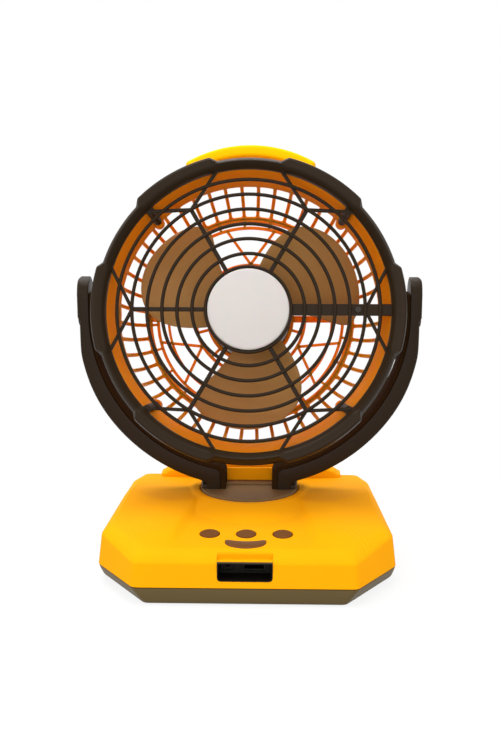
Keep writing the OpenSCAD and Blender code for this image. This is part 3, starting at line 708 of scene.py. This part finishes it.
bay = Form()
bay.skin([[(x, y, z) for x, z in mouth(grow, soft)] for grow, soft, y in (
    (1.0, 3, -103), (1.0, 3, -115.4), (0.7, 3, -115.6), (0.68, 3, -117.6), (0.5, 3, -117.8),
    (0.1, 2.7, -117.7), (0, 2.6, -117.3), (-0.2, 2.4, -110), (-0.3, 2.2, -104.2), (-0.8, 2, -103.8))])
bay_piece = new_object("port_bay_tray", to_mesh("port_bay_tray", bay))
for left, width, height in ((-1.7, 15.4, 8.2), (-17.3, 9.6, 11)):
    window = [(left, 19.8), (left + width, 19.8), (left + width, 19.8 + height), (left, 19.8 + height)]
    cut_away(bay_piece, prism(window, 98, 106.5), upright)
# The tray's very dark black is partly its black plastic and partly painted shade of the deep pocket.
finish_piece(bay_piece, "base", black_abs, stands_for=["port_bay"], slot="dark_trim")

lip = Form()
bar(lip, (-19, -116.7), (19, -116.7), 1.4, 30.3, 30.85, 0.2)
make_piece("port_bay_lip", lip, "base", olive_abs, slot="dark_trim")

# %% [markdown]
# ## Turntable
# The turntable is a turned disc with a rounded rim and a fine groove. It sits in the shell's well with a thin
# gap all round, and its neck goes down to the gear.

# %% Turntable
disc = Form()
disc.turn([(0, 50), (35.2, 50), (35.5, 49.75), (35.9, 49.75), (36.2, 50), (37.2, 49.95), (37.75, 49.7), (38, 49.2),
           (38, 44.6), (22, 44.6), (22, 41.2), (18, 41.2), (18, 36.3), (13, 36.3), (13, 46.5), (0, 46.5)], 128)
make_piece("turntable_disc", disc, "swivel", turntable_pom, stands_for=["turntable"], slot="turntable")

# %% [markdown]
# ## Yoke
# The yoke is a flat band bent to an arc, with straight arms, half-round tops and two feet that turn down onto
# the turntable. It is a skin over cross-sections. Each section is a softened rectangle between an inner and an
# outer point of the band. The cable of the real yoke runs inside it under a narrower liner, whose edge shows as
# a step, so the liner is a second band, set back.

# %% Yoke sections
ARC, TOP, HALF = 184.5, 214.5, 12.4
ARM_OUT, BAND_OUT, BAND_IN, LINER_IN = 130, 133.1, 121, 118.8
ARM_ROUND, BEND_X, BAND_FOOT, LINER_FOOT, DISC_TOP = 3.5, 40, 22.2, 17.9, 50


def evenly(path, count):
    """Points of a polyline at equal steps of its length."""
    path = [Vector(p) for p in path]
    runs = [(b - a).length for a, b in zip(path, path[1:])]
    out = []
    for k in range(count):
        left = sum(runs) * k / (count - 1)
        for a, b, run in zip(path, path[1:], runs):
            if left <= run + 1e-9:
                out.append(tuple(a.lerp(b, left / run)))
                break
            left -= run
        else:
            out.append(tuple(path[-1]))
    return out


def angle_at(x, radius):
    """Angle in degrees at which an arc round the yoke's middle reaches x."""
    return degrees(acos(x / radius))


def arc_points(radius, start, end, steps=24):
    """Points (x, z) on an arc, angles in degrees down from the horizontal."""
    return [(x, ARC - z) for x, z in (polar(radius, start + (end - start) * k / steps) for k in range(steps + 1))]


def foot_path(radius, foot, turn):
    """From the arc to the foot's side at x foot, turned with a radius, and down to the table."""
    path = arc_points(radius, angle_at(BEND_X, radius), angle_at(foot + turn, radius))
    corner_z = path[-1][1] - turn
    path += [(foot + turn - turn * sin(t), corner_z + turn * cos(t))
             for t in (pi / 2 * k / 10 for k in range(1, 11))]
    return path + [(foot, DISC_TOP)]


def section(outer, inner, half, outer_edge, inner_edge):
    """A ring round the band: a rectangle between two points of the XZ plane, its edges softened."""
    a, b = Vector(outer), Vector(inner)
    length = (b - a).length
    flat = softened([(0, -half), (0, half), (length, half), (length, -half)],
                    [outer_edge, outer_edge, inner_edge, inner_edge], 3)
    way = (b - a).normalized()
    return [(a.x + way.x * s, y, a.y + way.y * s) for s, y in flat]


def band(outer_path, inner_path, halves, outer_edge, inner_edge, back=0.0):
    """Both arms of a band as skins over its sections, moved back by some millimetres."""
    form = Form()
    for side in (1, -1):
        form.skin([[(side * x, y + back, z)
                    for x, y, z in section(o, i, half, min(outer_edge, half * 0.7), min(inner_edge, half * 0.7))]
                   for o, i, half in zip(outer_path, inner_path, halves)])
    return form


# %% Yoke paths
outer, inner, halves = [], [], []
for k in range(19):
    up = (1 - k / 18) ** 1.4 * 0.985
    z = TOP - HALF + HALF * up
    rounded = ARM_ROUND - sqrt(max(ARM_ROUND ** 2 - max(z - TOP + ARM_ROUND, 0) ** 2, 0))
    outer.append((ARM_OUT - rounded, z))
    inner.append((BAND_IN, z))
    halves.append(HALF * (1 - 0.3 * up - 0.7 * up ** 4))
for k in range(1, 6):
    z = TOP - HALF + (ARC - TOP + HALF) * k / 5
    outer.append((ARM_OUT, z))
    inner.append((BAND_IN, z))
for k in range(1, 49):
    a = angle_at(BEND_X, BAND_IN) * k / 48
    c = cos(radians(a))
    soft = 1 / (1 / BAND_OUT ** 24 + (c / ARM_OUT) ** 24) ** (1 / 24)
    reach = min(BAND_OUT, ARM_OUT / c) * 0.35 + soft * 0.65 + 0.4 * exp(-((a - 12.4) / 6) ** 2)
    outer.append((min(reach * c, ARM_OUT), ARC - reach * sin(radians(a))))
    inner.append((BAND_IN * c, ARC - BAND_IN * sin(radians(a))))
last = degrees(atan2(ARC - outer[-1][1], outer[-1][0]))
shrink = LINER_IN / BAND_IN
liner_outer = [(x + 0.4 if z > ARC else x * 1.003, z) for x, z in inner[18:]]
liner_inner = [(x * shrink, z if z > ARC else ARC - (ARC - z) * shrink) for x, z in inner[18:]]
foot_out = arc_points(BAND_OUT, last, angle_at(37, BAND_OUT), 12)
foot_out += [(34.6, 55.4), (33.3, 53.8), (33, 52), (33, DISC_TOP)]
foot_in = evenly(foot_path(BAND_IN, BAND_FOOT, 6), 25)[1:]
foot_start = len(liner_outer)
outer += evenly(foot_out, 25)[1:]
inner += foot_in
halves += [HALF] * (len(outer) - len(halves))
liner_outer += [(x + 0.5, z - 0.5) for x, z in foot_in[:-1]] + [(BAND_FOOT + 0.5, DISC_TOP)]
liner_inner += evenly(foot_path(LINER_IN, LINER_FOOT, 9.5), 25)[1:]
liner_halves = [11.5 + 0.4 * ease(foot_start - 8, foot_start + 8, k) for k in range(len(liner_outer))]

# %% Yoke, toes and bridge
make_piece("yoke_liner", band(liner_outer, liner_inner, liner_halves, 0.6, 0.8, back=0.5), "swivel", liner_abs,
           stands_for=["yoke_cover"], slot="charcoal")
yoke = band(outer, inner, halves, 2.3, 0.9)
pivot_bosses(yoke, [(11, 122), (11, 119), (10.4, 118.45), (4.2, 118.45), (4.2, 122)], PIVOT)
make_piece("yoke_band", yoke, "swivel", charcoal_abs, stands_for=["yoke"], slot="charcoal")
toes = Form()
toe = [(32, -11)] + [polar(37.7, a) for a in range(-17, 18, 2)] + [(32, 11)]
for side in (-1, 1):
    toes.skin([[(side * (x - inset), y * (1 - inset / 12), z) for x, y in toe]
               for inset, z in ((0, 50.02), (0, 52.6), (0.3, 53.2), (0.9, 53.5))])
make_piece("yoke_toes", toes, "swivel", charcoal_abs, slot="charcoal", sharp=40)
for name, front, back, top, soft, material, slot in (
        ("yoke_bridge", -0.6, 9.6, 51.3, 0.4, turntable_pom, "turntable"),
        ("cable_cover", 9.7, 12.3, 61, 0.8, yellow_abs, "yellow_shell")):
    corners = [(front, DISC_TOP + 0.02), (back, DISC_TOP + 0.02), (back, top), (front, top)]
    make_piece(name, rail(softened(corners, [0.1, 0.1, soft, soft], 4), 19), "swivel", material, slot=slot)

# %% [markdown]
# ## Front guard
# The guard is one charcoal moulding: six round rings, six spokes that fork into two arms, a hub rim that holds
# the lamp, and the bezel. The bezel is thin between six thick lobes. Its cross-section has the same number of
# points everywhere, so it can be blended from thin to lobe while it is swept round.

# %% Bezel
INSIDE = [(112.8, 8), (112.6, 8.4), (110.8, 28.5), (109.2, 32), (107.6, 29.4), (107.6, 27.2), (107.4, 27)]
THIN = [(105.2, 27), (105.2, 29.6), (105.6, 30.4), (109.0, 35.2), (109.8, 35.9), (110.5, 35.5), (112.7, 32.2),
        (113.2, 30.6), (114.9, 9.4), (115, 8.6), (115, 8.3), (114.8, 8)] + INSIDE
LOBE = [(105.2, 27), (105.4, 31.4), (105.9, 32.6), (107.9, 35.6), (109.0, 36.4), (113.9, 37), (115.3, 36.2),
        (116.1, 34.0), (117.1, 11.6), (116.9, 10.5), (115.1, 10.4), (114.9, 8)] + INSIDE
LOBE_HALF = 17.2
guard = Form()
rings = []
for k in range(720):
    off = abs((k / 2 + 30) % 60 - 30)
    lobe = min(max((LOBE_HALF + 0.6 - off) / 2.5, 0), 1)
    rings.append([polar((1 - lobe) * a[0] + lobe * b[0], k / 2) + ((1 - lobe) * a[1] + lobe * b[1],)
                  for a, b in zip(THIN, LOBE)])
guard.skin(rings, closed=True)

# %% Rings, spokes and screw columns
GUARD_R, WIRE_STEP, WIRE, FORK = 97, 11.1, 1.35, 85.9
for k in range(5, -1, -1):
    guard.turn(circle(WIRE, 12, (GUARD_R - WIRE_STEP * k, 30)), 144)
guard.turn([(30.7, 27), (30.7, 31.2), (31, 31.8), (31.6, 32), (32.3, 31.8), (32.8, 31), (32.8, 27.4), (32.4, 27)], 96)
for k in range(6):
    if k:
        bar(guard, polar(32, 60 * k), polar(FORK + 0.6, 60 * k), 3.2, 27.2, 29.8, 0.7)
    for side in (-1, 1):
        bar(guard, polar(FORK, 60 * k), polar(107, 60 * k + side * LOBE_HALF), 2.6, 27.2, 29.8, 0.7)
bar(guard, (32, 0), (106.6, 0), 8.6, 27, 29.9, 0.6)
for k in range(4):
    out = Vector(polar(1, 45 + 90 * k))
    guard.skin([[(out.x * (r + dx) - out.y * dy, out.y * (r + dx) + out.x * dy, z) for dx, dy in circle(3.1, 20)]
                for r, z in ((104.2, 29.5), (103.6, 26), (101.2, 16), (99.2, 8.2))])
make_piece("front_guard_moulding", guard, "head", charcoal_abs, place=head_place,
           stands_for=["front_guard", "lamp_arm"], slot="charcoal", sharp=36)

# %% [markdown]
# ## Rear shell
# The orange rear half is a funnel with a cage behind the blades. Each of its 48 slots is built flat, as a
# frame round a rounded hole, and is then bent onto the wall: the angle goes round the axis, and the second
# coordinate follows the wall's profile.

# %% Funnel
orange = Form()
orange.turn([(105.5, 27), (105.2, 26.6), (98.3, 5.6), (98.2, 5), (98.5, 4.8), (114.3, 4.8), (114.6, 5.1), (114.6, 7.7),
             (114.3, 8), (101.9, 8), (102, 8.6), (107.9, 26.6), (107.8, 27)], 180)

# %% Slotted wall
WALL_PATH = [(98.3, 5.2), (97.9, 2), (96.6, -3.5), (94.8, -9.5), (92.3, -16), (89.2, -21.5), (85.6, -25.6),
             (82.6, -27.6), (79.6, -28.6)]
WALL, SLOTS, SLOT_HALF, BAR_HALF = 2.3, 48, 4.6, 1.35
STEP = 360 / SLOTS
wall_runs = [dist(a, b) for a, b in zip(WALL_PATH, WALL_PATH[1:])]
WALL_LENGTH = sum(wall_runs)


def on_wall(along, angle, depth):
    """A point of the slotted wall: along its profile, round the axis, and into its thickness."""
    left = along
    for (r0, z0), (r1, z1), run in zip(WALL_PATH, WALL_PATH[1:], wall_runs):
        if left <= run or (r1, z1) == WALL_PATH[-1]:
            t = left / run
            normal = Vector((r1 - r0, z1 - z0)).normalized().orthogonal()
            if normal.x < 0:
                normal.negate()
            r, z = r0 + (r1 - r0) * t + normal.x * depth, z0 + (z1 - z0) * t + normal.y * depth
            return polar(r, angle) + (z,)
        left -= run


def cell_loop(low, high, half, soft):
    """A rectangle's outline in (along, across) with softened corners and rows along its long sides."""
    corners = softened([(low, -half), (high, -half), (high, half), (low, half)], soft, 4)
    out = []
    for k in range(4):
        out += corners[k * 5:k * 5 + 5]
        a, b = Vector(corners[k * 5 + 4]), Vector(corners[(k * 5 + 5) % 20])
        count = 3 if k % 2 else 12
        out += [tuple(a.lerp(b, j / count)) for j in range(1, count)]
    return out


def slot_ring(middle, grow, depth):
    """The slot's outline, grown by some millimetres, at a depth in the wall."""
    ring = []
    for s, c in cell_loop(2.6 - grow, WALL_LENGTH - 2.2 + grow, SLOT_HALF + grow, 1.7):
        r = hypot(*on_wall(s, 0, 0)[:2])
        half = r * radians(STEP) / 2 - BAR_HALF + grow
        ring.append(on_wall(s, middle + degrees(c / (SLOT_HALF + grow) * half / r), depth))
    return ring


def cell_ring(middle, depth):
    """The whole cell's outline at a depth in the wall."""
    return [on_wall(s, middle + c * STEP / 2, depth) for s, c in cell_loop(0, WALL_LENGTH, 1, 0.001)]


for k in range(SLOTS):
    middle = (k + 1) * STEP
    slot = [slot_ring(middle, grow, depth) for grow, depth in ((0.35, 0), (0, 0.35), (0, 1.9), (0.3, WALL))]
    orange.skin([cell_ring(middle, 0)] + slot + [cell_ring(middle, WALL)], closed=True)

# %% Rings and bars of the flat rear
def flat_ring(inner, outer, low, high, soft=0.6):
    """A flat ring with softened edges on the rear shell."""
    orange.turn(softened([(inner, low), (outer, low), (outer, high), (inner, high)], soft, 3), 144)


BACK, FRONT = -31.4, -28.6
for inner_r, outer_r in ((77.6, 80.9), (71.8, 74.2), (63.6, 65.6), (41.8, 44.4), (31.6, 34.5)):
    flat_ring(inner_r, outer_r, BACK, FRONT)
for k in range(24):
    a = (k + 0.5) * 15 - 3.75
    bar(orange, polar(73.5, a), polar(78.5, a), 2, BACK + 0.2, FRONT - 0.2)
for k in range(6):
    for side in (-1, 1):
        bar(orange, polar(43.8, 90 + 60 * k), polar(72.6, 90 + 60 * k + side * 15), 2.2, BACK + 0.1, FRONT - 0.1)
for k in range(12):
    bar(orange, polar(34, 30 * k + 15), polar(42.4, 30 * k + 15), 2.2, BACK + 0.2, FRONT - 0.2)
for k in (0, 180):
    bar(orange, polar(34, k), polar(80, k), 5.2, BACK, FRONT + 0.1, 0.8)
for k in range(3):
    post(orange, polar(37, 30 + 120 * k), [(3.4, -33.8), (3.4, -29.6), (3.0, -29.1)], 24)

# %% Screw pads, pivot bosses and the motor's collar
PAD = [(3.6, -1.5), (4.2, -0.6), (4.3, 4.8), (3.9, 6.2), (2.1, 6.2), (1.9, 5.8), (1.9, 0), (0.2, 0)]
for k in range(4):
    post(orange, polar(98.6, 45 + 90 * k), PAD, 28)
pivot_bosses(orange, [(7.4, 98.8), (7.4, 116.4), (6.8, 117), (4.2, 117), (4.2, 98.8)])
flat_ring(31.6, 34.4, -34, BACK + 0.1, 0.3)
make_piece("rear_shell_moulding", orange, "head", orange_pp, place=head_place, stands_for=["rear_shell"],
           slot="orange_shell", sharp=40)

# %% [markdown]
# ## Propeller
# Three broad paddle blades grow out of a hub. A blade is a thin twisted plate: steep at the root, flatter at
# the tip, and a little hollow on its rear face. The angle of each long edge changes evenly with the radius, and
# the tip is rounded. The plate is a stack of that outline scaled towards the blade's middle, which crowns it
# and rounds its edge.

# %% Blade
ROOT_R, TIP_R, EDGE_STEPS = 24, 88, 36


def blade_edge(root, flare, squareness):
    """One long edge of a blade from its root: the angle changes evenly with the radius, then closes at the tip."""
    out = []
    for k in range(EDGE_STEPS + 1):
        t = 1 - (1 - k / EDGE_STEPS) ** 3
        out.append(polar(ROOT_R + (TIP_R - ROOT_R) * t, (root + flare * t) * sqrt(1 - t ** squareness)))
    return out


def blade_height(x, y):
    """Height of the blade's middle face: a pitch that falls from root to tip, and a shallow camber."""
    r = hypot(x, y)
    a = degrees(atan2(y, x)) - 5
    pitch = radians(26 - 8 * ease(ROOT_R, TIP_R, r))
    across = r * radians(a)
    camber = -1.6 * (across / (r * 0.75)) ** 2
    return tan(pitch) * r * sin(radians(a)) * 0.92 + camber - 0.5


blade = blade_edge(-22, -17, 9) + blade_edge(54, -22, 7)[-2::-1] + [polar(22, 54 - 76 * k / 14) for k in range(15)]
blade_middle = Vector(polar(54, 4))
crown = [(0.02, 1.25), (0.25, 1.25), (0.5, 1.2), (0.75, 1.1), (0.9, 0.95), (0.965, 0.72), (0.988, 0.45), (1, 0.12)]
crown += [(scale, -half) for scale, half in reversed(crown)]
propeller = Form()
for k in range(3):
    turn = Matrix.Rotation(radians(148.5 + 120 * k), 3, "Z")
    rings = []
    for scale, half in crown:
        layer = [blade_middle + (Vector(q) - blade_middle) * scale for q in blade]
        rings.append([tuple(turn @ Vector((p.x, p.y, blade_height(p.x, p.y) + half))) for p in layer])
    propeller.skin(rings)

# %% Hub
propeller.turn([(2.6, 8), (9, 8), (9.6, 7.4), (10, 5.6), (20.5, 5.2), (22.6, 4.4), (23.7, 2.8), (24, 0.6),
                (24, -9.6), (23.7, -10), (22.3, -10), (22, -9.6), (22, -4), (2.6, -4)], 96)
for k in range(6):
    bar(propeller, polar(8, 60 * k), polar(22.6, 60 * k), 1.4, -9.4, -3.8, 0.3)
make_piece("propeller_moulding", propeller, "rotor", blade_pp, place=head_place, stands_for=["propeller"],
           slot="brown_blade", sharp=40)

# %% [markdown]
# ## Handle
# The handle is a yellow bow behind the top of the head, of the same plastic as the base; its lighter lemon
# colour is painted top light. It is a softened rectangle swept along an arc, and its section shrinks over the
# last few millimetres, which rounds both ends. Two posts carry it.

# %% Handle
BOW_R, BOW_Y, BOW_Z, BOW_END = 94.8, 34, -13, radians(31.6)
rings = []
for k in range(73):
    angle = BOW_END * (1 - k / 36)
    from_end = BOW_R * (BOW_END - abs(angle))
    slim = sqrt(max(1 - (1 - min(from_end / 3.6, 1)) ** 2, 0.04))
    half, low, high = 4.7 * (0.35 + 0.65 * slim), BOW_Z - 9 * slim, BOW_Z + 9 * slim
    rings.append([((BOW_R + s) * sin(angle), BOW_Y + (BOW_R + s) * cos(angle), z)
                  for s, z in softened([(-half, low), (half, low), (half, high), (-half, high)], 3.0 * slim, 5)])
handle = Form()
handle.skin(rings)
for side in (-1, 1):
    foot = softened([(side * x, y) for x, y in [(42.4, 98.8), (48.4, 96.2), (49.2, 113.2), (43, 117)]], 2.5, 4)
    handle.skin([[(x, y, z) for x, y in foot] for z in (-16, 4.8)])
make_piece("handle_bow", handle, "head", handle_abs, place=head_place, stands_for=["handle"], slot="yellow_handle",
           sharp=40)

# %% [markdown]
# ## Lamp
# The lamp's cover is a shallow opal dome, seated in the hub rim with a fine dark gap.

# %% Lamp cover
LAMP_R = 30.2
profile = [(x, 34.4 - 1.74 * (x / LAMP_R) ** 2) for x in (30.1 * k / 24 for k in range(24))]
profile += [(29.5, 32.5), (29.95, 32.1), (30.15, 31.5), (30.15, 30.7), (0, 30.7)]
lamp_cover = Form()
lamp_cover.turn(profile, 128)
make_piece("lamp_cover", lamp_cover, "head", opal_acrylic, place=head_place, stands_for=["lamp_lens"],
           slot="lamp_diffuser")

# %% [markdown]
# ## Parts that keep their CAD shape
# Screws, caps, feet, sockets and the works inside are right as they come from CAD. Each gets the finish of its
# trade, so that an opened fan looks right as well. Steel is zinc plated, blackened or plain, and slow noise in
# its roughness makes its shine a little cloudy.

# %% Metal and dressing
def metal(name, colour, roughness, blur):
    """A bare or plated metal; blur in millimetres sets the size of its cloudy patches."""
    material, tree = blank_material(name, colour)
    gloss = add(tree, "MapRange", {"Value": noise(tree, blur, Detail=4.0),
                                   "To Min": roughness - 0.1, "To Max": roughness + 0.1})
    skin = add(tree, "BsdfPrincipled", {
        "Base Color": linear(colour), "Metallic": 1.0, "Roughness": gloss.outputs[0]})
    add(tree, "OutputMaterial", {"Surface": skin.outputs[0]})
    return material


def dress(material, *names):
    """Gives CAD nodes a material in place of their plain one."""
    for name in names:
        for slot in nodes[name].material_slots:
            slot.material = material
    print(material.name, "on", ", ".join(names))


# %% Finishes of the CAD parts
dress(metal("steel_zinc_plated", "#B9BEC4", 0.35, 1.5), "base_screws", "gear_screws", "yoke_screws",
      "handle_screws", "pivot_bolts", "motor_screws", "motor_bearings", "propeller_nut", "motor_shaft")
# The USB socket's plating is really bright; the blackened steel on it paints the shade deep in the port bay.
dress(metal("steel_black_oxide_and_painted_shade", "#3B3733", 0.42, 1.5), "usb_socket", "guard_screws", "arm_screw")
dress(metal("steel_deep_drawn", "#8F9398", 0.42, 4), "swing_motor", "motor_can")
dress(metal("copper_enamelled_wire", "#B8733A", 0.35, 0.8), "motor_stator")
dress(charcoal_abs, "pivot_caps", "lamp_housing", "motor_end_plate")
dress(black_abs, "dc_jack", "touch_switches", "battery_holder")
dress(moulded_plastic("nylon_natural", "#E8E4D8", roughness=0.5), "slip_ring", "swing_pinion", "swing_gear",
      "tilt_washers")
dress(moulded_plastic("fr4_solder_mask", "#1D5B3A", roughness=0.3, bump=0.01), "main_board", "control_board")
dress(moulded_plastic("fr4_white_mask", "#F0EEE8", roughness=0.3, bump=0.01), "lamp_board")
dress(moulded_plastic("rubber_black", "#222222", roughness=0.75, grain=0.8), "rubber_feet")
dress(moulded_plastic("pvc_shrink_film", "#2F6F9F", roughness=0.25, bump=0.01), "battery_cells")
dress(moulded_plastic("ferrite_sintered", "#55585C", roughness=0.6), "rotor_magnet")
